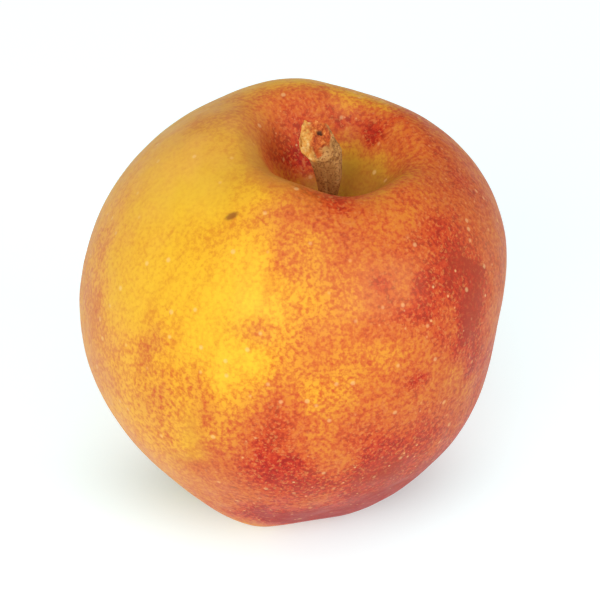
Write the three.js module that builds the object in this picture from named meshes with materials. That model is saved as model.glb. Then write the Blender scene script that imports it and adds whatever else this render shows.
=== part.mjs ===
// A picked apple standing on its calyx end: the fruit, its woody stem, and the dried flower in the
// basin underneath (five sepals round a tuft of stamens).
// Units are millimetres, +Z is up, and the origin is on the resting surface under the box's centre.
// Azimuths are in degrees, anticlockwise from +X seen from above.
import * as THREE from "three";

// ---- Fruit ----
const FOOT_RADIUS = 13; // of the ring of lobes that the apple stands on
const FRUIT_PROFILE = [
  // [radius, height] control points of the smooth outline, from the stem cavity to the calyx basin
  [0, 54],
  [3, 54.5],
  [6, 59.5],
  [10.5, 66.5],
  [15.5, 72], // crest of the crown
  [25.5, 66.5],
  [34.5, 54.5], // shoulder
  [37.5, 40],
  [36, 25],
  [28, 13],
  [19, 3],
  [FOOT_RADIUS, -2.6], // worn level at height 0
  [8, 3],
  [4, 7],
  [0, 7],
];
const GRADE_HEIGHT = 68; // where a gradual lean or tilt reaches its full amount
const CROWN_LEAN = { x: 5.5, y: 2 }; // the crown has grown this far off the foot
const CROWN_TILT = 2.4; // and stands this much higher on its -X side, lower on its +X side
const CAVITY_SHIFT = 2.5; // the stem cavity sits this much further towards +X
const CAVITY_REACH = 18; // radius inside which the cavity follows that shift
const TILT_REACH = 15; // radius beyond which the crown has its full tilt
const BULGES = [
  // swellings and flats of the flank: azimuth, fraction of the height, how far it stands out
  { azimuth: 0, level: 0.85, out: 0.6 },
  { azimuth: 0, level: 0.5, out: -2.2 },
  { azimuth: 0, level: 0.2, out: 0.5 },
  { azimuth: 180, level: 0.85, out: 1.5 },
  { azimuth: 180, level: 0.5, out: 1 },
  { azimuth: 180, level: 0.2, out: -1 },
  { azimuth: 90, level: 0.8, out: 1.1 },
];
const BULGE_SPREAD = { azimuth: 50, level: 0.22 };
const BULGE_RADIUS = 36; // where a bulge stands out by its full amount
const LOBES = 5; // one behind each seed chamber
const LOBE_AZIMUTH = -112; // the first of them
const CROWN_RIB = { radius: 17, spread: 10, rise: 0.5 }; // each lobe lifts the crown a little
const FOOT_NOTCH = { spread: 6, tall: 8, rise: 2 }; // and the hollows between lobes leave the table
const FLANK_RIB = { radius: 24, spread: 8, height: 6, tall: 10, out: 0.8 }; // above the foot

// ---- Stem ----
const STEM_OUTLINE = [
  // [radius, height above the cavity floor]: thin at the root, a broken knuckle at the top
  [0, 0],
  [1.9, 0.3],
  [1.5, 2],
  [1.5, 4.5],
  [1.75, 7],
  [2.3, 10.4],
  [2.75, 13.4],
  [3.05, 16.4],
  [2.85, 18.4],
  [2, 19.5],
  [0, 19.8],
];
const STEM_SWAY = { x: 1.3, y: -0.7 }; // how far the middle bows out
const STEM_TOP = { x: -1.6, y: -0.9 }; // how far the top ends off the root
const FLOOR_RISE = 0.4; // the cavity's floor rises this much under the width of the root
const SEAT_GAP = 0.3; // clearance where a piece meets the fruit

// ---- Dried flower ----
const SEPALS = 5;
const SEPAL = { length: 5.2, width: 2.8, thickness: 0.6, ring: 2.7, curl: 2.4 };
const SEPAL_BLADE = { neck: 0.6, swell: 2, taper: 0.7, flatten: 0.18 };
const TUFT = { radius: 1.3, length: 3.4, filaments: 7, ridge: 0.12 };
const TUFT_OUTLINE = [
  // [fraction of the radius, fraction of the length], from the ragged end up to the root
  [0, -1],
  [0.6, -0.96],
  [0.8, -0.6],
  [1, -0.15],
  [0.8, 0],
  [0, 0],
];
const BASIN_FLOOR = 6.7; // height of the basin's floor between the sepals

// ---- Fineness of the faceted surfaces ----
const FRUIT_FACETS = { round: 50, perSpan: 3 };
const STEM_FACETS = 16;
const SEPAL_FACETS = { round: 8, along: 7 };
const FACETS_PER_FILAMENT = 4;

const radians = THREE.MathUtils.degToRad;
const bell = (x) => Math.exp(-x * x);

// A uniform cubic B-spline. The second and second-last points are mirrored in the axis, so the
// curve meets the axis squarely at both ends.
function smoothProfile(points, perSpan) {
  const mirrored = ([r, h]) => [-r, h];
  const all = [mirrored(points[1]), ...points, mirrored(points.at(-2))];
  const curve = [];
  for (let span = 0; span + 3 < all.length; span++) {
    const last = span + 4 === all.length;
    for (let step = 0; step < perSpan + (last ? 1 : 0); step++) {
      const u = step / perSpan;
      const weights = [
        (1 - u) ** 3,
        3 * u ** 3 - 6 * u ** 2 + 4,
        -3 * u ** 3 + 3 * u ** 2 + 3 * u + 1,
        u ** 3,
      ];
      const mix = (axis) => weights.reduce((sum, w, k) => sum + (w * all[span + k][axis]) / 6, 0);
      curve.push([Math.abs(mix(0)), mix(1)]);
    }
  }
  return curve;
}

// Revolves an outline that runs from its lowest to its highest end, then moves every point to
// place(radius, height, azimuth in radians).
function moulded(outline, sides, place) {
  const points = outline.map(([r, h]) => new THREE.Vector2(r, h));
  const geometry = new THREE.LatheGeometry(points, sides);
  const at = geometry.getAttribute("position");
  for (let i = 0; i < at.count; i++) {
    const radius = Math.hypot(at.getX(i), at.getZ(i));
    const azimuth = Math.atan2(at.getX(i), at.getZ(i));
    at.setXYZ(i, ...place(radius, at.getY(i), azimuth));
  }
  geometry.computeVertexNormals();
  return geometry;
}

// The fruit's surface at a point of its profile, turned to an azimuth.
function fruitPoint(radius, height, azimuth) {
  const grade = THREE.MathUtils.clamp(height / GRADE_HEIGHT, 0, 1);
  const upper = height > GRADE_HEIGHT / 2;
  let swell = 1;
  for (const { azimuth: middle, level, out } of BULGES) {
    const turn = Math.atan2(Math.sin(azimuth - radians(middle)), Math.cos(azimuth - radians(middle)));
    const round = bell(turn / radians(BULGE_SPREAD.azimuth));
    swell += (out / BULGE_RADIUS) * round * bell((grade - level) / BULGE_SPREAD.level);
  }
  const lobe = Math.cos(LOBES * (azimuth - radians(LOBE_AZIMUTH)));
  const crown = upper ? bell((radius - CROWN_RIB.radius) / CROWN_RIB.spread) : 0;
  const foot = upper
    ? 0
    : bell((radius - FOOT_RADIUS) / FOOT_NOTCH.spread) * bell(height / FOOT_NOTCH.tall);
  const flank = upper
    ? 0
    : bell((radius - FLANK_RIB.radius) / FLANK_RIB.spread) *
      bell((height - FLANK_RIB.height) / FLANK_RIB.tall);
  const cavity = upper ? Math.exp(-((radius / CAVITY_REACH) ** 4)) : 0;
  const out = radius * swell + FLANK_RIB.out * lobe * flank;
  const tilt = CROWN_TILT * Math.cos(azimuth) * grade ** 2 * Math.min(radius / TILT_REACH, 1);
  const rise = CROWN_RIB.rise * lobe * crown + (FOOT_NOTCH.rise * (1 - lobe) * foot) / 2 - tilt;
  return [
    out * Math.cos(azimuth) + CROWN_LEAN.x * grade ** 1.5 + CAVITY_SHIFT * cavity,
    out * Math.sin(azimuth) + CROWN_LEAN.y * grade ** 1.5,
    Math.max(height + rise, 0),
  ];
}

const skin = new THREE.MeshStandardMaterial({ color: 0xdf8a2e, roughness: 0.38, metalness: 0 });
const bark = new THREE.MeshStandardMaterial({ color: 0xa9743f, roughness: 0.8, metalness: 0 });
const husk = new THREE.MeshStandardMaterial({ color: 0x6b543a, roughness: 0.95, metalness: 0 });

function named(name, geometry, material) {
  const mesh = new THREE.Mesh(geometry, material);
  mesh.name = name;
  return mesh;
}

function fruit() {
  const outline = smoothProfile(FRUIT_PROFILE, FRUIT_FACETS.perSpan).reverse();
  return named("fruit", moulded(outline, FRUIT_FACETS.round, fruitPoint), skin);
}

// The stem bows out in the middle and leans at the top, and stands just clear of the cavity floor.
function stem() {
  const [rootX, rootY, rootZ] = fruitPoint(0, FRUIT_PROFILE[0][1], 0);
  const length = STEM_OUTLINE.at(-1)[1];
  const place = (radius, height, azimuth) => {
    const t = height / length;
    const bow = Math.sin(Math.PI * t);
    return [
      rootX + radius * Math.cos(azimuth) + STEM_SWAY.x * bow + STEM_TOP.x * t * t,
      rootY + radius * Math.sin(azimuth) + STEM_SWAY.y * bow + STEM_TOP.y * t * t,
      rootZ + FLOOR_RISE + SEAT_GAP + height,
    ];
  };
  return named("stem", moulded(STEM_OUTLINE, STEM_FACETS, place), bark);
}

// A sepal is a thin pointed blade. It hangs from the basin's floor and curls outwards to its tip.
function sepal(index) {
  const { neck, swell, taper, flatten } = SEPAL_BLADE;
  const outline = [[0, 0]];
  for (let step = 1; step < SEPAL_FACETS.along; step++) {
    const t = step / SEPAL_FACETS.along;
    outline.push([(SEPAL.width / 2) * (1 - t) ** taper * Math.min(1, neck + swell * t), t]);
  }
  outline.push([0, 1]);
  const place = (radius, t, azimuth) => {
    const across = radius * Math.cos(azimuth);
    const through = ((radius * Math.sin(azimuth)) / SEPAL.width) * SEPAL.thickness;
    const out = SEPAL.ring + SEPAL.curl * t * t + through;
    return [out, across, BASIN_FLOOR - SEAT_GAP - SEPAL.length * t * (1 - flatten * t)];
  };
  const mesh = named(`sepal_${index + 1}`, moulded(outline, SEPAL_FACETS.round, place), husk);
  mesh.rotation.z = radians(LOBE_AZIMUTH + (360 / SEPALS) * index);
  return mesh;
}

// The withered stamens and styles stand as one ridged tuft in the middle of the sepals.
function driedStamens() {
  const outline = TUFT_OUTLINE.map(([out, down]) => [out * TUFT.radius, down * TUFT.length]);
  const place = (radius, height, azimuth) => {
    const ridged = radius * (1 + TUFT.ridge * Math.cos(TUFT.filaments * azimuth));
    return [
      ridged * Math.cos(azimuth),
      ridged * Math.sin(azimuth),
      BASIN_FLOOR - SEAT_GAP + height,
    ];
  };
  return named("dried_stamens", moulded(outline, TUFT.filaments * FACETS_PER_FILAMENT, place), husk);
}

const apple = new THREE.Group();
apple.add(fruit(), stem(), driedStamens());
for (let index = 0; index < SEPALS; index++) apple.add(sepal(index));

// Set the origin on the resting surface, under the centre of the apple's box.
const extent = new THREE.Box3().setFromObject(apple);
const centre = extent.getCenter(new THREE.Vector3());
apple.position.set(-centre.x, -centre.y, -extent.min.z);

export default apple;
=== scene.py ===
# %% [markdown]
# # An apple on a pale table
#
# A picked dessert apple stands on the five lobes of its calyx end. Its waxy skin is golden yellow
# on the side that grew in the leaves' shade, and a mottled orange-red on the side that saw the sun.
# The fruit is one grown body. Its stem, and the dried flower underneath, are pieces of their own.
#
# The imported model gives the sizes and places. Each piece here is a finer surface of the same form,
# worked out with numpy in millimetres and set into the frame in metres.

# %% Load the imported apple
import math

import bpy
import numpy as np
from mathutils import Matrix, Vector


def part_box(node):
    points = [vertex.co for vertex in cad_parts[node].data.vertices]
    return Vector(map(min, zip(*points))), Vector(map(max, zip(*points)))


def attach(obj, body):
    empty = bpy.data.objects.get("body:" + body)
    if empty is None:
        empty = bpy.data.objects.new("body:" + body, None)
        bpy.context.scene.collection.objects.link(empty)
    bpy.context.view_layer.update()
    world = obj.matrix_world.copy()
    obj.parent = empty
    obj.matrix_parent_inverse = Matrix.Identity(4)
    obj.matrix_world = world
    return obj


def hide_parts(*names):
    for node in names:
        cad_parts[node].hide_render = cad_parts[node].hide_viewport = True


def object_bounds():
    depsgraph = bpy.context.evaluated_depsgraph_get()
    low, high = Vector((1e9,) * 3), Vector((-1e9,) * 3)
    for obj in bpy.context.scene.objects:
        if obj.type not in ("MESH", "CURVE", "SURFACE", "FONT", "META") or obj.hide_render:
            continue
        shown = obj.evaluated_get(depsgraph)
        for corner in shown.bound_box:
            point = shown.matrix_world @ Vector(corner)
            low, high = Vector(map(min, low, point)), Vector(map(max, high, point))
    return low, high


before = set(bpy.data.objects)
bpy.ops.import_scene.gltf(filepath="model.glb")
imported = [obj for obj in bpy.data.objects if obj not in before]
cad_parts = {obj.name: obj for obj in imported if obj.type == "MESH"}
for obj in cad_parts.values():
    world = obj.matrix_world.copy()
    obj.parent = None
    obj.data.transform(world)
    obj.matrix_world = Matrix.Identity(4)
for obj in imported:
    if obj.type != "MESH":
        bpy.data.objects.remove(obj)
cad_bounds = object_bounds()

print("nodes:", ", ".join(sorted(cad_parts)))

# %% [markdown]
# ## The camera
#
# A small object photographed in a studio is usually taken with a long lens from a fair distance,
# which keeps its outline nearly free of perspective. The camera looks down at the apple from the
# front, and aims a little above the middle of its box.

# %% Place the camera
MM = 0.001
CAMERA_ELEVATION = math.radians(36)
CAMERA_DISTANCE = 0.6
CAMERA_LENS = 207
AIM_OFFSET = (0.0012, -0.0011, 0.0015)  # from the middle of the apple's box

box_low, box_high = (np.array(corner) for corner in cad_bounds)
aim = (box_low + box_high) / 2 + AIM_OFFSET
backwards = np.array([0, -math.cos(CAMERA_ELEVATION), math.sin(CAMERA_ELEVATION)])

camera_data = bpy.data.cameras.new("camera")
camera_data.lens = CAMERA_LENS
camera_data.sensor_width = 36
camera = bpy.data.objects.new("camera", camera_data)
camera.location = aim + backwards * CAMERA_DISTANCE
camera.rotation_euler = (math.pi / 2 - CAMERA_ELEVATION, 0, 0)
bpy.context.scene.collection.objects.link(camera)
bpy.context.scene.camera = camera
print("camera at", tuple(round(v, 3) for v in camera.location))

# %% [markdown]
# ## Tools for shapes
#
# Every natural piece here is closed and round in one direction, so one helper is enough: it takes
# rings of points from one pole to the other and makes the mesh. A second helper gives the soft
# random fields that keep a grown thing from looking turned on a lathe.

# %% Closed surfaces from rings of points
def joined_rings(rings, fields):
    """Joins rings of points into one closed body, as its points, its faces and its listed fields.

    rings has the shape (ring, column, 3). The first and last rings shrink to a pole each, and quads
    join the others. If the quads' areas together point at the body's middle, all faces are turned over.
    """
    count, columns = rings.shape[:2]

    def listed(grid):
        middle = grid[1:-1].reshape((-1,) + grid.shape[2:])
        return np.concatenate([grid[:1].mean(axis=1), middle, grid[-1:].mean(axis=1)])

    points = listed(rings)
    column = np.arange(columns)
    beside = (column + 1) % columns
    row = 1 + columns * np.arange(count - 3)[:, None]
    quads = np.stack([row + column, row + beside, row + columns + beside, row + columns + column])
    quads = quads.reshape(4, -1).T
    last = 1 + columns * (count - 3)
    end = len(points) - 1
    first_fan = np.stack([0 * column, 1 + beside, 1 + column], axis=1)
    last_fan = np.stack([0 * column + end, last + column, last + beside], axis=1)

    corner = points[quads]
    facing = np.cross(corner[:, 2] - corner[:, 0], corner[:, 3] - corner[:, 1])
    outwards = np.sum(facing * (corner.mean(axis=1) - points.mean(axis=0)))
    if outwards < 0:
        quads, first_fan, last_fan = quads[:, ::-1], first_fan[:, ::-1], last_fan[:, ::-1]
    faces = first_fan.tolist() + quads.tolist() + last_fan.tolist()
    return points, faces, {field: listed(grid) for field, grid in fields.items()}


def closed_surface(name, bodies):
    """Makes one mesh of closed bodies, each a pair of rings in metres and a dictionary of fields,
    arrays of (ring, column) or (ring, column, 3) that become point attributes of the mesh."""
    joined = [joined_rings(*body) for body in bodies]
    points = np.concatenate([body[0] for body in joined])
    starts = np.cumsum([0] + [len(body[0]) for body in joined])
    faces = [
        [int(start) + corner for corner in face]
        for start, body in zip(starts, joined)
        for face in body[1]
    ]
    mesh = bpy.data.meshes.new(name)
    mesh.from_pydata(points, [], faces)
    mesh.polygons.foreach_set("use_smooth", np.ones(len(mesh.polygons), bool))
    for field in joined[0][2]:
        values = np.concatenate([body[2][field] for body in joined])
        kind, slot = ("FLOAT_VECTOR", "vector") if values.ndim == 2 else ("FLOAT", "value")
        attribute = mesh.attributes.new(field, kind, "POINT")
        attribute.data.foreach_set(slot, values.astype(np.float32).ravel())
    mesh.update()
    piece = bpy.data.objects.new(name, mesh)
    bpy.context.scene.collection.objects.link(piece)
    print(f"{name}: {len(points)} points, {len(mesh.polygons)} faces")
    return piece


# %% Soft random fields
def cloud(points, size, seed):
    """A smooth random field between 0 and 1: random values on the corners of a lattice of cells of
    the given size, blended across each cell by the smoothstep of every coordinate."""
    table = np.random.default_rng(seed).random((32, 32, 32))
    place = points / size
    low = np.floor(place).astype(int)
    step = place - low
    step = step * step * (3 - 2 * step)
    total = np.zeros(points.shape[:-1])
    for corner in np.ndindex(2, 2, 2):
        weight = np.prod(np.where(corner, step, 1 - step), axis=-1)
        at = np.moveaxis((low + corner) % 32, -1, 0)
        total += weight * table[tuple(at)]
    return total


def bell(x):
    """The bell curve exp(-x squared)."""
    return np.exp(-np.square(x))


def smoothstep(low, high, x):
    """0 below low, 1 above high, and 3t^2 - 2t^3 between them."""
    t = np.clip((x - low) / (high - low), 0, 1)
    return t * t * (3 - 2 * t)


# %% [markdown]
# ## The form of the fruit
#
# An apple is nearly a solid of revolution: a deep funnel round the stem, a broad crown, a full
# flank that tapers to the foot, and a shallow basin underneath. One smooth outline gives all of it.
# Growth then spoils the symmetry. The crown leans off the foot, one shoulder stands higher, the
# flank has swellings and flats, and each of the five seed chambers pushes out a lobe at the foot.
# It could be sculpted from a ball, but a formula of radius, height and azimuth keeps the fine
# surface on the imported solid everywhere.

# %% Outline of the fruit
FOOT_RADIUS = 13
OUTLINE = [
    # radius, height in mm: stem cavity, crown, shoulder, flank, foot ring, calyx basin
    (0, 54), (3, 54.5), (6, 59.5), (10.5, 66.5),
    (15.5, 72), (25.5, 66.5), (34.5, 54.5),
    (37.5, 40), (36, 25), (28, 13), (19, 3),
    (FOOT_RADIUS, -2.6), (8, 3), (4, 7), (0, 7),
]
STEPS_PER_SPAN = 21
COLUMNS = 300


def smooth_outline(points, steps):
    """A uniform cubic B-spline through the neighbourhood of its points. The second points from both
    ends are mirrored in the axis, so the curve meets the axis squarely."""
    points = np.array(points, float)
    mirror = np.array([-1, 1])
    control = np.vstack([points[1] * mirror, points, points[-2] * mirror])
    spans = len(control) - 3
    place = np.linspace(0, spans, spans * steps + 1)
    span = np.minimum(place.astype(int), spans - 1)
    u = (place - span)[:, None]
    return (
        (1 - u) ** 3 * control[span]
        + (3 * u**3 - 6 * u**2 + 4) * control[span + 1]
        + (-3 * u**3 + 3 * u**2 + 3 * u + 1) * control[span + 2]
        + u**3 * control[span + 3]
    ) / 6


outline = smooth_outline(OUTLINE, STEPS_PER_SPAN)
radius, height = outline[:, 0:1], outline[:, 1:2]
along = np.concatenate([[0], np.cumsum(np.hypot(*np.diff(outline, axis=0).T))])[:, None]
azimuth = np.linspace(0, 2 * np.pi, COLUMNS, endpoint=False)[None, :]
print(f"outline: {len(outline)} rings, {along[-1, 0]:.0f} mm from cavity to basin")

# %% Growth spoils the symmetry
GRADE_HEIGHT = 68
CROWN_LEAN = (5.5, 2)
CROWN_TILT = 2.4
CAVITY_SHIFT = 2.5
CAVITY_REACH = 18
TILT_REACH = 15
BULGES = [
    # azimuth in degrees, fraction of the height, mm outwards
    (0, 0.85, 0.6), (0, 0.5, -2.2), (0, 0.2, 0.5),
    (180, 0.85, 1.5), (180, 0.5, 1), (180, 0.2, -1),
    (90, 0.8, 1.1),
]
BULGE_RADIUS = 36
BULGE_SPREAD = (math.radians(50), 0.22)  # of azimuth, and of the height
LOBES = 5
LOBE_AZIMUTH = math.radians(-112)
CROWN_RIB = (17, 10, 0.5)  # mm: radius, spread and rise
FOOT_NOTCH = (6, 8)  # mm: spread of radius and of height
FLANK_RIB = (24, 8, 6, 10, 0.8)  # mm: radius, spread, height, spread and how far it stands out


def turn_from(degrees):
    """The signed angle in radians from a given azimuth to every column."""
    return np.angle(np.exp(1j * (azimuth - math.radians(degrees))))


def fruit_points(radius, height):
    """The fruit in mm. The radius swells by bell-shaped bulges and the foot's lobes, the height
    rises with the crown's ribs and the hollows between the lobes and falls with the crown's tilt,
    the whole leans with the 1.5th power of height, and the foot is worn level at height 0."""
    grade = np.clip(height / GRADE_HEIGHT, 0, 1)
    upper = height > GRADE_HEIGHT / 2
    swell = 1 + sum(
        out / BULGE_RADIUS
        * bell(turn_from(middle) / BULGE_SPREAD[0]) * bell((grade - level) / BULGE_SPREAD[1])
        for middle, level, out in BULGES
    )
    lobe = np.cos(LOBES * (azimuth - LOBE_AZIMUTH))
    rib_radius, rib_spread, rib_rise = CROWN_RIB
    crown = upper * bell((radius - rib_radius) / rib_spread)
    foot = ~upper * bell((radius - FOOT_RADIUS) / FOOT_NOTCH[0]) * bell(height / FOOT_NOTCH[1])
    flank_radius, flank_spread, flank_height, flank_tall, flank_out = FLANK_RIB
    flank = ~upper * bell((radius - flank_radius) / flank_spread) * bell((height - flank_height) / flank_tall)
    cavity = upper * np.exp(-((radius / CAVITY_REACH) ** 4))
    out = radius * swell + flank_out * lobe * flank
    tilt = CROWN_TILT * np.cos(azimuth) * grade**2 * np.minimum(radius / TILT_REACH, 1)
    rise = rib_rise * lobe * crown + (1 - lobe) * foot - tilt
    x = out * np.cos(azimuth) + CROWN_LEAN[0] * grade**1.5 + CAVITY_SHIFT * cavity
    y = out * np.sin(azimuth) + CROWN_LEAN[1] * grade**1.5
    z = np.maximum(height + rise, 0)
    return np.stack([x, y, z], axis=-1)


smooth_fruit = fruit_points(radius, height)
own_middle = (smooth_fruit.min(axis=(0, 1)) + smooth_fruit.max(axis=(0, 1))) / 2
cad_middle = sum(np.array(corner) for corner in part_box("fruit")) / 2 / MM
into_frame = cad_middle - own_middle
into_frame[2] = 0
print("moved into the frame by", into_frame.round(2), "mm")

# %% Small undulations of the skin
WIDE_WAVE = (14, 0.6)  # mm: size of a wave, and its full height
FINE_WAVE = (4, 0.12)


def undulated(points):
    """Moves every point along its normal by two soft random fields, the wider about 0.3 mm high and
    the finer about 0.06 mm. Both fade out on the level foot."""
    across = np.roll(points, -1, axis=1) - np.roll(points, 1, axis=1)
    down = np.gradient(points, axis=0)
    normal = np.cross(down, across)
    normal /= np.linalg.norm(normal, axis=-1, keepdims=True) + 1e-9
    wide = WIDE_WAVE[1] * (cloud(points, WIDE_WAVE[0], 1) - 0.5)
    fine = FINE_WAVE[1] * (cloud(points, FINE_WAVE[0], 2) - 0.5)
    height_of_wave = wide + fine
    ease = smoothstep(0, 6, points[..., 2]) * smoothstep(1, 6, radius)
    return points + normal * (height_of_wave * ease)[..., None]


fruit_mm = undulated(smooth_fruit)
print("undulation moves the skin by up to",
      round(float(np.abs(fruit_mm - smooth_fruit).max()), 2), "mm")

# %% [markdown]
# ## Where the sun reached
#
# The red of an apple is a pigment that forms where light falls on the skin. So the blush is broad
# and strongest on one side, and the rest stays yellow. Close up it is a mottle: the red lies in fine
# specks and short strokes over the yellow. It is drawn in two layers. Broad brush marks, placed by
# azimuth and by the distance from the stem along the skin, give the amount of blush as an attribute
# of the mesh; two of them darken the left wall of the stem cavity as painted shade. The material
# then breaks that amount up into the fine mottle.

# %% Brush marks on the skin
LEAST_RADIUS = 4  # mm; nearer the axis a mark grows no wider in azimuth
local_radius = np.maximum(radius, LEAST_RADIUS)
ripple = cloud(smooth_fruit, 5, 11) - 0.5
ripple_fine = cloud(smooth_fruit, 2.2, 12) - 0.5
ripple_other = cloud(smooth_fruit + 90, 5, 13) - 0.5
ripple_wide = cloud(smooth_fruit + 30, 12, 14) - 0.5


def mark(degrees, level, wide, long):
    """A soft brush mark: a bell curve of the distance in mm round the fruit and along the skin from
    its middle. Random ripples of a few mm keep its edge from being a smooth oval."""
    around = turn_from(degrees) * local_radius + 6 * ripple + 3 * ripple_fine
    lengthwise = along - level + 7 * ripple_other - 3 * ripple_fine
    return bell(around / wide) * bell(lengthwise / long)


def painted(marks):
    """The sum of a list of brush marks, each (azimuth, mm from the stem, mm wide, mm long, amount)."""
    return sum(amount * mark(*place) for *place, amount in marks)


# %% Amount of blush, with painted shade in the stem cavity
SUN_AZIMUTH = -15  # the middle of the side that saw the sun
BLUSH_AND_CAVITY_SHADE_MARKS = [
    # crown, round the stem cavity; the marks at 118 and 132 degrees, 7 to 12 mm from the stem, are painted shade on
    # the cavity's left wall
    (-118, 23, 9, 4, 0.45), (-88, 24, 10, 5, 0.22), (150, 18, 12, 7, 0.35), (118, 12, 5, 5, 0.5), (132, 7, 7, 4, 0.5),
    (66, 20, 9, 3, 0.35), (40, 21, 6, 2.5, 0.15), (100, 20, 9, 4, 0.25), (178, 15, 8, 5, 0.3),
    (20, 13, 12, 5, -0.3), (-30, 22, 9, 3, -0.2), (175, 24, 10, 5, 0.1),
    # sunny side
    (-36, 44, 5, 8, 0.45), (-37, 52, 5, 6, 0.4), (-57, 44, 5, 4.5, 0.4), (-58, 34, 8, 4, 0.15),
    (-10, 36, 12, 10, 0.06), (-30, 63, 5, 5, 0.3), (-76, 42, 5, 6, -0.12), (-48, 60, 6, 5, -0.05),
    (-58, 59, 3, 2, 0.25), (-70, 60, 14, 12, 0.1), (-14, 60, 12, 16, 0.1), (-20, 90, 20, 12, 0.1),
    # front and towards the foot
    (-94, 72, 6, 7, 0.34), (-100, 76, 8, 6, 0.14), (-80, 92, 20, 13, 0.28), (-68, 76, 14, 8, 0.16),
    (-100, 92, 10, 9, 0.14), (-92, 64, 8, 6, 0.12), (-88, 79, 11, 6, 0.1),
    (-90, 100, 14, 8, 0.2), (-108, 66, 8, 8, 0.16), (-50, 92, 12, 10, 0.2), (-96, 60, 5, 6, 0.2),
    # shaded side: thin orange streaks and clouds
    (-162, 58, 5, 5, 0.22), (-136, 56, 3, 4, 0.25), (-132, 66, 4, 7, 0.16), (-155, 68, 9, 8, 0.2),
    (-118, 84, 8, 9, 0.14), (-140, 84, 12, 9, 0.18), (175, 62, 14, 16, 0.22), (-115, 76, 4, 5, 0.1),
    (-108, 50, 8, 9, -0.18), (-92, 31, 12, 6, -0.1),
    # far side
    (40, 60, 22, 22, 0.1), (70, 45, 10, 12, 0.2), (100, 70, 12, 16, 0.15), (130, 50, 8, 14, 0.1),
]

sun = smoothstep(-0.45, 1.0, np.cos(azimuth - math.radians(SUN_AZIMUTH)) + 0.4 * ripple + 0.7 * ripple_wide)
lower = smoothstep(55, 100, along)
base_blush = 0.1 + 0.48 * sun + 0.13 * lower
blush_and_cavity_shade = base_blush + painted(BLUSH_AND_CAVITY_SHADE_MARKS) + 0.18 * ripple * sun + 0.12 * ripple_wide
inside = smoothstep(13, 4, along)  # down in the stem cavity
blush_and_cavity_shade = np.clip(blush_and_cavity_shade * (1 - 0.55 * inside), 0, 1.02)
print(f"blush: mean {blush_and_cavity_shade.mean():.2f}, highest {blush_and_cavity_shade.max():.2f}")

# %% Other tints under the blush, and painted sheen at the edge
LEMON_MARKS = [
    (-152, 32, 12, 9, 0.8), (-128, 46, 12, 9, 0.35), (-112, 46, 7, 9, 0.3), (-140, 22, 8, 4, 0.3),
    (-120, 72, 3, 7, 0.5), (-150, 50, 8, 6, 0.25), (150, 40, 14, 12, 0.3),
]
# peach is partly the skin's own tint and partly painted sheen: the marks near the outline, chiefly at the left edge,
# stand in for the pale reflection at grazing angles
PEACH_AND_RIM_SHEEN_MARKS = [
    (-165, 66, 14, 14, 0.8), (178, 40, 14, 14, 0.6), (-140, 82, 14, 10, 0.6), (165, 28, 12, 6, 0.4),
    (-72, 42, 9, 8, 0.35), (-20, 50, 14, 16, 0.3), (120, 26, 16, 6, 0.3), (-60, 80, 22, 12, 0.15),
]
OLIVE_MARKS = [
    (20, 11, 9, 5, 0.8), (60, 8, 8, 5, 0.7), (-40, 14, 9, 6, 0.5), (-90, 14, 8, 5, 0.4),
    (160, 8, 7, 4, 0.4), (-45, 22, 7, 3, 0.25), (-155, 24, 14, 6, 0.3), (132, 8, 9, 8, -0.8),
# the last mark takes the olive out of the cavity's left wall, so the painted shade there stays dark red-brown
]
lemon = np.clip(painted(LEMON_MARKS), 0, 1)
peach_and_rim_sheen = np.clip(painted(PEACH_AND_RIM_SHEEN_MARKS), 0, 1)
olive = np.clip(painted(OLIVE_MARKS) + smoothstep(11, 4, along) + smoothstep(117, 125, along), 0, 1)
MAP_RADIUS = 35  # mm; the streaks run along a cylinder of this radius
sides = MAP_RADIUS * np.concatenate([np.cos(azimuth), np.sin(azimuth)])
skin_map = np.stack(np.broadcast_arrays(sides[0:1], sides[1:2], along), axis=-1)


# %% A small graze
GRAZE_AZIMUTH = -127
GRAZE_LEVEL = 32  # mm from the stem along the skin
GRAZE_SIZE = (1.5, 0.9)  # mm; it runs slantwise
across_graze = turn_from(GRAZE_AZIMUTH) * local_radius
along_graze = along - GRAZE_LEVEL
graze = (
    bell((across_graze - along_graze) / GRAZE_SIZE[0]) * bell((across_graze + along_graze) / GRAZE_SIZE[1])
)

# %% The fruit
skin_fields = {
    "graze": graze, "blush_and_cavity_shade": blush_and_cavity_shade, "lemon": lemon, "peach_and_rim_sheen": peach_and_rim_sheen, "olive": olive, "skin_map": skin_map,
}
fruit = closed_surface("apple_fruit", [((fruit_mm + into_frame) * MM, skin_fields)])
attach(fruit, "root")
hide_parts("fruit")

# %% [markdown]
# ## The stem
#
# The stem is a short twig of wood. It is thin where it leaves the core, and flares to the knuckle
# where it came off the spur, with a flaky rim round a slanting broken face. A bent cylinder would be
# too even, so an outline is carried along a bent axis: low ridges run along the bark, the top slants
# towards the front, and the broken face is dished, with a small hole in it whose dark inside is painted shade.

# %% Shape of the stem
STEM_OUTLINE = [
    # radius, height in mm from the root to the middle of the broken face
    (0, 0), (1.9, 0.3), (1.5, 2), (1.5, 4.5), (1.75, 7), (2.3, 10.4),
    (2.75, 13.4), (3.05, 16.4), (2.85, 18.4), (2, 19.5), (0, 19.8),
]
STEM_SWAY = (1.3, -0.7)  # mm that the middle bows out
STEM_TOP = (-1.6, -0.9)  # mm that the top ends off the root
STEM_COLUMNS = 96
FACE_AZIMUTH = math.radians(-82)  # the broken face slants this way
FACE_DROP = 3.0
FACE_DISH = 0.6
HOLE = (1.0, 0.5, 0.5)  # mm across and up the face from its middle to the hole, and its radius


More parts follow.
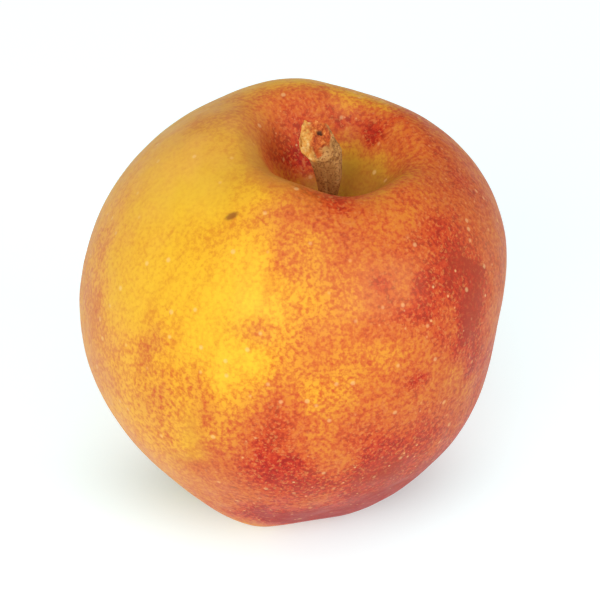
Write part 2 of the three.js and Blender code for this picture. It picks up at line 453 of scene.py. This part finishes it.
def curve_through(points, steps):
    """Cubic Hermite spans through all of the points, with the slope at each from its neighbours."""
    points = np.array(points, float)
    slope = np.gradient(points, axis=0)
    u = np.linspace(0, 1, steps, endpoint=False)[:, None, None]
    curve = (
        (2 * u**3 - 3 * u**2 + 1) * points[:-1] + (u**3 - 2 * u**2 + u) * slope[:-1]
        + (3 * u**2 - 2 * u**3) * points[1:] + (u**3 - u**2) * slope[1:]
    )
    return np.vstack([curve.transpose(1, 0, 2).reshape(-1, 2), points[-1:]])


def stem_body():
    """The stem in mm with its fields. On the outline (r, h), ridges of 0.07 mm follow the azimuth
    and soft lumps of 0.4 mm grow towards the head. Above the neck the height falls by the face's
    slant, inside the rim by the dish and the hole, and at the rim it rises and falls in flakes."""
    turn = np.linspace(0, 2 * np.pi, STEM_COLUMNS, endpoint=False)[None, :]
    profile = curve_through(STEM_OUTLINE, 14)
    r, h = np.maximum(profile[:, 0:1], 0), profile[:, 1:2]
    t = h / STEM_OUTLINE[-1][1]
    rim_row = int(np.argmax(profile[:, 0] + profile[:, 1] / 4))
    on_face = (np.arange(len(profile)) > rim_row)[:, None]
    unit = np.stack(np.broadcast_arrays(r * np.cos(turn), r * np.sin(turn), h), axis=-1)
    head = smoothstep(12, 16, h)
    lumps = cloud(unit + 40, 1.6, 21) - 0.5
    crumbs = cloud(unit + 70, 0.6, 22) - 0.5
    ridges = 0.07 * np.sin(9 * turn + 3 * lumps) + 0.05 * np.sin(17 * turn + 1)
    swollen = r + (ridges + 0.8 * head * lumps + 0.3 * head * crumbs) * np.minimum(r, 1)
    slant = (0.5 + 0.5 * np.cos(turn - FACE_AZIMUTH)) * np.minimum(r / 2.6, 1)
    slant = slant + 0.35 * (1 - np.minimum(r / 2.6, 1))
    inner = on_face * smoothstep(2.6, 1.4, r)
    rim = bell((r - 2.5) / 0.5) * smoothstep(16, 17.6, h)
    across = r * np.cos(turn - FACE_AZIMUTH - math.pi / 2)
    up_face = -r * np.cos(turn - FACE_AZIMUTH)
    hole = on_face * bell(np.hypot(across - HOLE[0], up_face - HOLE[1]) / HOLE[2])
    drop = FACE_DROP * smoothstep(13.5, 18.5, h) * slant + FACE_DISH * inner + 0.9 * hole
    z = h - drop + rim * (1.1 * lumps + 1.3 * crumbs) + 0.5 * on_face * crumbs
    bow = np.sin(np.pi * t)
    x = swollen * np.cos(turn) + STEM_SWAY[0] * bow + STEM_TOP[0] * t**2
    y = swollen * np.sin(turn) + STEM_SWAY[1] * bow + STEM_TOP[1] * t**2
    flake_side = np.clip(-r * np.cos(turn) / 3 + 0.5 + 0.5 * up_face / 3, 0, 1)
    bare = smoothstep(-0.9, 0.1, r * np.cos(turn) + 0.9 * crumbs + 1.2 * lumps)
    broken = on_face * bare * smoothstep(2.9, 2.4, r + 0.9 * crumbs + 0.6 * lumps)
    flaky = smoothstep(15, 17, h + 1.6 * lumps + 1.5 * flake_side) * (0.3 + 0.7 * flake_side)
    return np.stack([x, y, z], axis=-1), {"broken": broken, "hole": hole, "flaky": flaky}


root_mm = fruit_points(np.zeros((1, 1)), np.full((1, 1), float(OUTLINE[0][1])))[0, 0] + into_frame
root_mm[2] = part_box("stem")[0][2] / MM
stem_mm, stem_fields = stem_body()
stem = closed_surface("broken_stem", [((stem_mm + root_mm) * MM, stem_fields)])
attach(stem, "root")
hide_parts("stem")

# %% [markdown]
# ## The dried flower
#
# Under the apple, the five sepals of the flower have withered to brown, hairy points that curl
# outwards, round a tuft of dried stamens. Each sepal is a thin blade: a flat ring carried along a
# curve, wide near its root and pointed at its tip. The edges wrinkle as they dried. The stamens are
# single bent threads, gathered in one piece.

# %% Sepals
SEPALS = 5
SEPAL_LENGTH = 5.2
SEPAL_WIDTH = 2.8
SEPAL_THICKNESS = 0.6
SEPAL_RING = 2.7  # mm from the axis to a sepal's root
SEPAL_CURL = 2.4
BASIN_FLOOR = 6.7
SEAT_GAP = 0.3


def sepal_rings(index):
    """One blade in mm. At a fraction t of its length the half width is w (1 - t)^0.7, the blade
    hangs down by t and curls out by t squared. A rib stands along its middle, and waves of 0.2 mm
    wrinkle its edges."""
    t = np.linspace(0, 1, 44)[:, None]
    turn = np.linspace(0, 2 * np.pi, 28, endpoint=False)[None, :]
    half = SEPAL_WIDTH / 2 * (1 - t) ** 0.7 * np.minimum(1, 0.6 + 2 * t) * np.minimum(1, 12 * t)
    across = half * np.cos(turn) * (1 + 0.08 * np.sin(17 * t + index))
    edge = np.abs(np.cos(turn)) ** 2
    thick = SEPAL_THICKNESS / 2 * np.minimum(1, 12 * t) * (1 - t**4) * (1 - 0.5 * edge)
    rib = 0.14 * bell(np.cos(turn) / 0.2) * (1 - t)
    wave = 0.2 * np.sin(14 * t + 2 * index + 1.5 * np.cos(turn)) * edge * np.minimum(1, 3 * t)
    through = np.sin(turn) * (thick + rib) + wave
    out = SEPAL_RING + SEPAL_CURL * t**2 + through
    down = BASIN_FLOOR - SEAT_GAP - SEPAL_LENGTH * t * (1 - 0.18 * t)
    facing = LOBE_AZIMUTH + 2 * math.pi / SEPALS * index
    x = out * math.cos(facing) - across * math.sin(facing)
    y = out * math.sin(facing) + across * math.cos(facing)
    return np.stack(np.broadcast_arrays(x, y, down), axis=-1)


sepals = []
for index in range(SEPALS):
    blade = closed_surface(f"dry_sepal_{index + 1}", [((sepal_rings(index) + into_frame) * MM, {})])
    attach(blade, "root")
    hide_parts(f"sepal_{index + 1}")
    sepals.append(blade)

# %% Dried stamens
TUFT_RADIUS = 1.3
TUFT_LENGTH = 3.4
STAMENS = 15
STAMEN_THICK = 0.15


def stamen_rings(index, dice):
    """One thread in mm: a circle carried down a line that bends by t squared, with a swollen anther
    near its tip. The threads start on a disc, spread by the golden angle."""
    t = np.linspace(0, 1, 22)[:, None]
    turn = np.linspace(0, 2 * np.pi, 8, endpoint=False)[None, :]
    golden = index * math.radians(137.5)
    start = 0.75 * TUFT_RADIUS * math.sqrt(index / STAMENS)
    bend = dice.uniform(-0.5, 0.5, 2)
    length = TUFT_LENGTH * dice.uniform(0.75, 1)
    thick = STAMEN_THICK * (1 - 0.4 * t + 1.1 * bell((t - 0.9) / 0.07)) * np.sqrt(1 - t**12)
    x = start * math.cos(golden) * (1 + 0.3 * t) + bend[0] * t**2 + thick * np.cos(turn)
    y = start * math.sin(golden) * (1 + 0.3 * t) + bend[1] * t**2 + thick * np.sin(turn)
    z = BASIN_FLOOR - SEAT_GAP - length * t + 0 * turn
    return np.stack([x, y, z], axis=-1)


def tuft_core():
    """The ring of scales that the stamens grow from: a low ribbed dome under the basin's floor."""
    t = np.linspace(0, 1, 14)[:, None]
    turn = np.linspace(0, 2 * np.pi, 42, endpoint=False)[None, :]
    r = TUFT_RADIUS * np.sin(np.pi * t) ** 0.5 * (1 + 0.06 * np.cos(7 * turn))
    z = BASIN_FLOOR - SEAT_GAP - 1.1 * t**1.5 + 0 * turn
    return np.stack([r * np.cos(turn), r * np.sin(turn), z], axis=-1)


dice = np.random.default_rng(31)
threads = [tuft_core()] + [stamen_rings(index, dice) for index in range(STAMENS)]
stamens = closed_surface("stamen_tuft", [((thread + into_frame) * MM, {}) for thread in threads])
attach(stamens, "root")
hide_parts("dried_stamens")

# %% [markdown]
# ## Building materials from nodes
#
# One helper adds a node, sets its values and links its inputs. Colours are written as sRGB hex
# values, as a colour picker shows them, and turned to the linear values that Blender computes with.

# %% Node and colour helpers
def linear(colour):
    """sRGB hex to linear RGBA: c / 12.92 when dark, else ((c + 0.055) / 1.055) to the power 2.4."""
    channels = [int(colour[i : i + 2], 16) / 255 for i in (1, 3, 5)]
    return [c / 12.92 if c < 0.04 else ((c + 0.055) / 1.055) ** 2.4 for c in channels] + [1]


def new_material(name):
    """A material with an empty node tree."""
    material = bpy.data.materials.new(name)
    material.use_nodes = True
    material.node_tree.nodes.clear()
    return material, material.node_tree


def add(tree, kind, inputs=None, **settings):
    """Adds one node. inputs maps a socket's name or number to a value or to another node's socket."""
    node = tree.nodes.new("ShaderNode" + kind)
    for name, value in settings.items():
        setattr(node, name, value)
    for name, value in (inputs or {}).items():
        if isinstance(value, bpy.types.NodeSocket):
            tree.links.new(value, node.inputs[name])
        else:
            node.inputs[name].default_value = value
    return node


def ramp(tree, factor, stops, mode="LINEAR"):
    """A colour ramp with stops of (position, hex colour)."""
    node = add(tree, "ValToRGB", {"Fac": factor})
    node.color_ramp.interpolation = mode
    elements = node.color_ramp.elements
    while len(elements) < len(stops):
        elements.new(0.5)
    for element, (position, colour) in zip(elements, stops):
        element.position = position
        element.color = linear(colour)
    return node.outputs["Color"]


def math_node(tree, operation, *values, clamp=False):
    """One arithmetic step on sockets or numbers."""
    node = add(tree, "Math", dict(enumerate(values)), operation=operation, use_clamp=clamp)
    return node.outputs[0]


def remapped(tree, value, low, high, to_low=0.0, to_high=1.0):
    """Carries a value from one range to another along a smoothstep."""
    settings = {"Value": value, 1: low, 2: high, 3: to_low, 4: to_high}
    return add(tree, "MapRange", settings, interpolation_type="SMOOTHSTEP").outputs[0]


def mixed(tree, factor, a, b):
    """Mixes colour b over colour a."""
    return add(tree, "Mix", {0: factor, 6: a, 7: b}, data_type="RGBA").outputs[2]


def noise(tree, vector, cell_mm, detail=2.0, roughness=0.5, in_metres=True):
    """Noise whose grains are about cell_mm across, read from coordinates in metres or in mm."""
    scale = (1000 if in_metres else 1) / cell_mm
    inputs = {"Vector": vector, "Scale": scale, "Detail": detail, "Roughness": roughness}
    return add(tree, "TexNoise", inputs).outputs["Fac"]


def attribute(tree, name, output="Fac"):
    """One of the mesh's own fields."""
    return add(tree, "Attribute", attribute_name=name).outputs[output]


# %% [markdown]
# ## Ripe apple skin
#
# The skin is a thin cuticle of natural wax over coloured flesh. The wax gives it a satin gloss with
# soft, wide highlights, and a little light enters the flesh and comes out again, which warms the
# shadows. Tiny corky pores, the lenticels, show as cream dots: few and small on the yellow side,
# many on the red side and towards the foot. Along the yellow side run faint orange streaks from
# stem to foot. A printed or photographed texture could show all this, but layers of noise at the
# real grain sizes can be read, changed and baked.

# %% Waxy skin
SKIN_RAMP = [
    (0.0, "#F5C12C"), (0.2, "#E8A024"), (0.38, "#D87A1E"), (0.55, "#CF571A"),
    (0.72, "#C63413"), (0.86, "#B61D0B"), (1.0, "#A00C05"),
]
MOTTLE_MM = 0.9  # a clump of red specks
GRAIN_MM = 0.36  # one speck
STREAK_MM = 1.6  # across a meridional streak
PORE_CELL_MM = 3.8
DENSE_PORE_CELL_MM = 2.4
SPECK_WEIGHT = 1.5
CLUMP_WEIGHT = 0.5
DRIFT_WEIGHT = 0.35
DRIFT_MM = 7


def waxy_skin():
    material, tree = new_material("waxy_apple_skin")
    place = add(tree, "TexCoord").outputs["Object"]
    blush_and_cavity_shade_at = attribute(tree, "blush_and_cavity_shade")

    # fine red mottle: strongest where yellow and red meet, weak on the clear yellow
    clump = noise(tree, place, MOTTLE_MM * 2.2, detail=3, roughness=0.6)
    speck = noise(tree, place, GRAIN_MM * 2, detail=2, roughness=0.6)
    wide = noise(tree, place, DRIFT_MM, detail=3, roughness=0.55)
    reach = remapped(tree, blush_and_cavity_shade_at, 0.05, 0.45, 0.4, 1.0)
    settled = remapped(tree, blush_and_cavity_shade_at, 0.85, 1.02, 1.0, 0.75)
    reach = math_node(tree, "MULTIPLY", reach, settled)
    specks = math_node(tree, "MULTIPLY_ADD", speck, SPECK_WEIGHT, -SPECK_WEIGHT / 2)
    clumps = math_node(tree, "MULTIPLY_ADD", clump, CLUMP_WEIGHT, -CLUMP_WEIGHT / 2)
    drift = math_node(tree, "MULTIPLY_ADD", wide, DRIFT_WEIGHT, -DRIFT_WEIGHT / 2)
    broken = math_node(tree, "ADD", specks, clumps)
    broken = math_node(tree, "ADD", broken, drift)
    broken = math_node(tree, "SMOOTH_MAX", broken, -0.16, 0.12)
    amount = math_node(tree, "MULTIPLY_ADD", broken, reach, blush_and_cavity_shade_at)

    # streaks along the meridians
    stretch = add(tree, "Mapping", {"Vector": attribute(tree, "skin_map", "Vector"),
                                    "Scale": (1.0, 1.0, 0.12)}).outputs[0]
    streak = noise(tree, stretch, STREAK_MM * 2, detail=3, roughness=0.6, in_metres=False)
    streak = remapped(tree, streak, 0.48, 0.8, 0.0, 0.15)
    amount = math_node(tree, "ADD", amount, streak)
    colour = ramp(tree, amount, SKIN_RAMP)

    # tints: greenish lemon and peach on the yellow side, olive in the two hollows; near the outline, chiefly at the
    # left, the peach is painted sheen for the pale reflection at grazing angles
    lemon_at = math_node(tree, "MULTIPLY", attribute(tree, "lemon"), 0.75)
    colour = mixed(tree, lemon_at, colour, linear("#E8BE22"))
    peach_and_rim_sheen_at = math_node(tree, "MULTIPLY", attribute(tree, "peach_and_rim_sheen"), 0.6)
    colour = mixed(tree, peach_and_rim_sheen_at, colour, linear("#E9A468"))
    olive_at = math_node(tree, "MULTIPLY", attribute(tree, "olive"), 0.7)
    colour = mixed(tree, olive_at, colour, linear("#A8802C"))

    # the ground between the specks is tan where the blush begins
    tan_at = remapped(tree, blush_and_cavity_shade_at, 0.2, 0.42, 0.0, 0.22)
    tan_at = math_node(tree, "MULTIPLY", tan_at, remapped(tree, blush_and_cavity_shade_at, 0.6, 0.85, 1.0, 0.0))
    colour = mixed(tree, tan_at, colour, linear("#D08840"))

    # pale tan net between the red specks
    net = noise(tree, place, GRAIN_MM * 1.7, detail=2, roughness=0.65)
    net = remapped(tree, net, 0.52, 0.66, 0.0, 0.5)
    net = math_node(tree, "MULTIPLY", net, remapped(tree, blush_and_cavity_shade_at, 0.35, 0.7, 0.0, 1.0))
    net = math_node(tree, "MULTIPLY", net, remapped(tree, blush_and_cavity_shade_at, 0.85, 1.05, 1.0, 0.25))
    colour = mixed(tree, net, colour, linear("#D98A48"))

    # lenticels
    sparse = add(tree, "TexVoronoi", {"Vector": place, "Scale": 1000 / PORE_CELL_MM}).outputs[0]
    dense = add(tree, "TexVoronoi", {"Vector": place, "Scale": 1000 / DENSE_PORE_CELL_MM}).outputs[0]
    sparse = remapped(tree, sparse, 0.06, 0.15, 0.4, 0.0)
    dense = remapped(tree, dense, 0.06, 0.13, 0.55, 0.0)
    dense = math_node(tree, "MULTIPLY", dense, remapped(tree, blush_and_cavity_shade_at, 0.5, 0.85))
    pores = math_node(tree, "MAXIMUM", sparse, dense)
    colour = mixed(tree, pores, colour, linear("#F3CE8C"))

    # a small corky graze on the yellow side
    graze_at = remapped(tree, attribute(tree, "graze"), 0.15, 0.7, 0.0, 0.8)
    colour = mixed(tree, graze_at, colour, linear("#8A4A1E"))

    # the wax is a little uneven, and the pores are dull
    wax = noise(tree, place, 3, detail=3)
    gloss = remapped(tree, wax, 0.3, 0.7, 0.46, 0.58)
    gloss = math_node(tree, "MULTIPLY_ADD", pores, 0.2, gloss)
    fine = noise(tree, place, 0.45, detail=2)
    relief = math_node(tree, "MULTIPLY_ADD", pores, 0.5, fine)
    bump = add(tree, "Bump", {"Height": relief, "Strength": 0.25, "Distance": 0.00006})
    shader = add(tree, "BsdfPrincipled", {
        "Base Color": colour, "Roughness": gloss, "IOR": 1.45, "Normal": bump.outputs[0],
        "Subsurface Weight": 0.12, "Subsurface Radius": (1.0, 0.45, 0.2), "Subsurface Scale": 0.002,
        "Specular IOR Level": 0.2, "Coat Weight": 0.03, "Coat Roughness": 0.2,
    })
    add(tree, "OutputMaterial", {"Surface": shader.outputs[0]})
    return material


fruit.data.materials.append(waxy_skin())
print("skin material has", len(fruit.data.materials[0].node_tree.nodes), "nodes")

# %% [markdown]
# ## Weathered stem wood and dried sepals
#
# The bark of the stem is dull and dry: tan, freckled dark brown, with thin streaks along it. The
# rim flakes off in pale ochre, and the broken face is raw wood, stained red-brown. The sepals are
# brown and covered with fine pale hairs, which a little sheen gives at this size.

# %% Stem bark
FRECKLE_MM = 0.22
FIBRE_MM = 0.5  # across a fibre of the broken face


def stem_bark():
    material, tree = new_material("dry_stem_bark")
    place = add(tree, "TexCoord").outputs["Object"]
    broken_at = attribute(tree, "broken")
    flaky_at = attribute(tree, "flaky")

    shade = noise(tree, place, 2.4, detail=3)
    bark = ramp(tree, shade, [(0.25, "#9A6530"), (0.5, "#BC8648"), (0.75, "#D6A668")])
    freckle = noise(tree, place, FRECKLE_MM * 1.6, detail=1, roughness=0.4)
    freckle = remapped(tree, freckle, 0.53, 0.63, 0.0, 0.7)
    bark = mixed(tree, freckle, bark, linear("#7A421A"))

    crumb = noise(tree, place, 0.9, detail=4, roughness=0.65)
    flake = ramp(tree, crumb, [(0.3, "#A8551C"), (0.45, "#D98F36"), (0.58, "#E2AC58"), (0.7, "#EBCF95")])
    colour = mixed(tree, remapped(tree, flaky_at, 0.25, 0.6, 0.0, 0.9), bark, flake)

    fibre = noise(tree, place, FIBRE_MM * 2, detail=4, roughness=0.7)
    face = ramp(tree, fibre, [(0.3, "#6E240C"), (0.45, "#B34A18"), (0.58, "#D4742E"), (0.72, "#E8AC60")])
    colour = mixed(tree, broken_at, colour, face)
    # the small hole is painted near-black brown: painted shade down in the hollow
    hole_at = remapped(tree, attribute(tree, "hole"), 0.15, 0.6, 0.0, 0.9)
    colour = mixed(tree, hole_at, colour, linear("#3E2416"))

    relief = math_node(tree, "ADD", crumb, fibre)
    bump = add(tree, "Bump", {"Height": relief, "Strength": 0.6, "Distance": 0.00025})
    shader = add(tree, "BsdfPrincipled", {
        "Base Color": colour, "Roughness": 0.72, "IOR": 1.45, "Normal": bump.outputs[0],
        "Specular IOR Level": 0.35,
    })
    add(tree, "OutputMaterial", {"Surface": shader.outputs[0]})
    return material


stem.data.materials.append(stem_bark())
print("stem bark:", len(stem.data.materials[0].node_tree.nodes), "nodes")


# %% Withered flower parts
def withered(name, dark, light, hair):
    """Dull brown plant matter, with fibres of 0.4 mm and a sheen of pale hairs."""
    material, tree = new_material(name)
    place = add(tree, "TexCoord").outputs["Object"]
    fibre = noise(tree, place, 0.4, detail=3, roughness=0.6)
    colour = ramp(tree, fibre, [(0.35, dark), (0.65, light)])
    tuft = remapped(tree, noise(tree, place, 0.9, detail=2), 0.55, 0.7, 0.0, 0.5)
    colour = mixed(tree, tuft, colour, linear(hair))
    bump = add(tree, "Bump", {"Height": fibre, "Strength": 0.6, "Distance": 0.0001})
    shader = add(tree, "BsdfPrincipled", {
        "Base Color": colour, "Roughness": 0.9, "Normal": bump.outputs[0], "Sheen Weight": 0.25,
    })
    add(tree, "OutputMaterial", {"Surface": shader.outputs[0]})
    return material


sepal_skin = withered("withered_sepal", "#4A3322", "#7E6242", "#B3A183")
for blade in sepals:
    blade.data.materials.append(sepal_skin)
stamens.data.materials.append(withered("dried_stamen", "#3A2618", "#6B4A2C", "#94764E"))

# %% [markdown]
# ## Table and light
#
# A white sweep that glows a little leaves only a pale grey shadow from the lamps, so its glow is
# dimmed in a soft ellipse under the apple: a painted shadow. Three soft panels, at the front left,
# overhead and at the right, light the apple, and a white world fills in. The sweep is a cool white,
# which cancels the warm light that the apple throws on it.

# %% Pale floor
FLOOR_SIZE = 6.0
PAPER_GLOW = 0.6  # the sweep is lit through from behind, as on a light table
# painted shadow: the sweep's glow is dimmed in a soft ellipse of this middle and size under the apple
PAINTED_SHADOW_MIDDLE = (-2, -2)  # mm; under the apple its glow is cut off
PAINTED_SHADOW_SIZE = (24, 11)


def pale_floor():
    half = FLOOR_SIZE / 2
    mesh = bpy.data.meshes.new("floor")
    corners = [(-half, -half, 0), (half, -half, 0), (half, half, 0), (-half, half, 0)]
    mesh.from_pydata(corners, [], [(0, 1, 2, 3)])
    floor = bpy.data.objects.new("floor", mesh)
    bpy.context.scene.collection.objects.link(floor)
    material, tree = new_material("pale_paper")
    scale = [1 / (size * MM) for size in PAINTED_SHADOW_SIZE]
    spot = add(tree, "Mapping", {
        "Vector": add(tree, "TexCoord").outputs["Object"],
        "Location": [-middle * MM * s for middle, s in zip(PAINTED_SHADOW_MIDDLE, scale)] + [0],
        "Scale": scale + [1],
    }).outputs[0]
    # a bell round the ellipse's middle dims the glow: this is the painted shadow under the apple
    distance = add(tree, "VectorMath", {0: spot}, operation="LENGTH").outputs["Value"]
    squared = math_node(tree, "MULTIPLY", distance, distance)
    shade = math_node(tree, "EXPONENT", math_node(tree, "MULTIPLY", squared, -1.0))
    glow = math_node(tree, "MULTIPLY_ADD", shade, -PAPER_GLOW, PAPER_GLOW)
    shader = add(tree, "BsdfPrincipled", {
        "Base Color": linear("#B8D6D8"), "Roughness": 0.9,
        "Emission Color": linear("#FFFAFA"), "Emission Strength": glow,
    })
    add(tree, "OutputMaterial", {"Surface": shader.outputs[0]})
    mesh.materials.append(material)
    return floor


floor = pale_floor()

# %% Soft light
PANEL_TARGET = (0, 0, 0.035)  # the middle of the apple


def soft_panel(name, position, size, power):
    """A square area light that faces the apple: tilted by the angle between its own -Z and the way to
    the apple, and turned about Z by that way's azimuth."""
    light = bpy.data.lights.new(name, "AREA")
    light.size = size
    light.energy = power
    panel = bpy.data.objects.new(name, light)
    panel.location = position
    towards = np.array(PANEL_TARGET) - position
    panel.rotation_euler = (
        math.acos(-towards[2] / np.linalg.norm(towards)), 0, math.atan2(-towards[0], towards[1])
    )
    bpy.context.scene.collection.objects.link(panel)
    return panel


soft_panel("key_panel", np.array([-0.4, -0.9, 0.6]), 0.7, 6.8)
soft_panel("top_panel", np.array([0.0, -0.35, 1.05]), 0.8, 3.8)
soft_panel("side_panel", np.array([0.8, -0.5, 0.6]), 0.6, 3.2)

WORLD_STRENGTH = 0.3
world = bpy.data.worlds.new("white_studio")
world.use_nodes = True
world.node_tree.nodes["Background"].inputs["Color"].default_value = (1, 1, 1, 1)
world.node_tree.nodes["Background"].inputs["Strength"].default_value = WORLD_STRENGTH
bpy.context.scene.world = world
bpy.context.scene.view_settings.view_transform = "Standard"
print("light: three panels and a white world of strength", WORLD_STRENGTH)
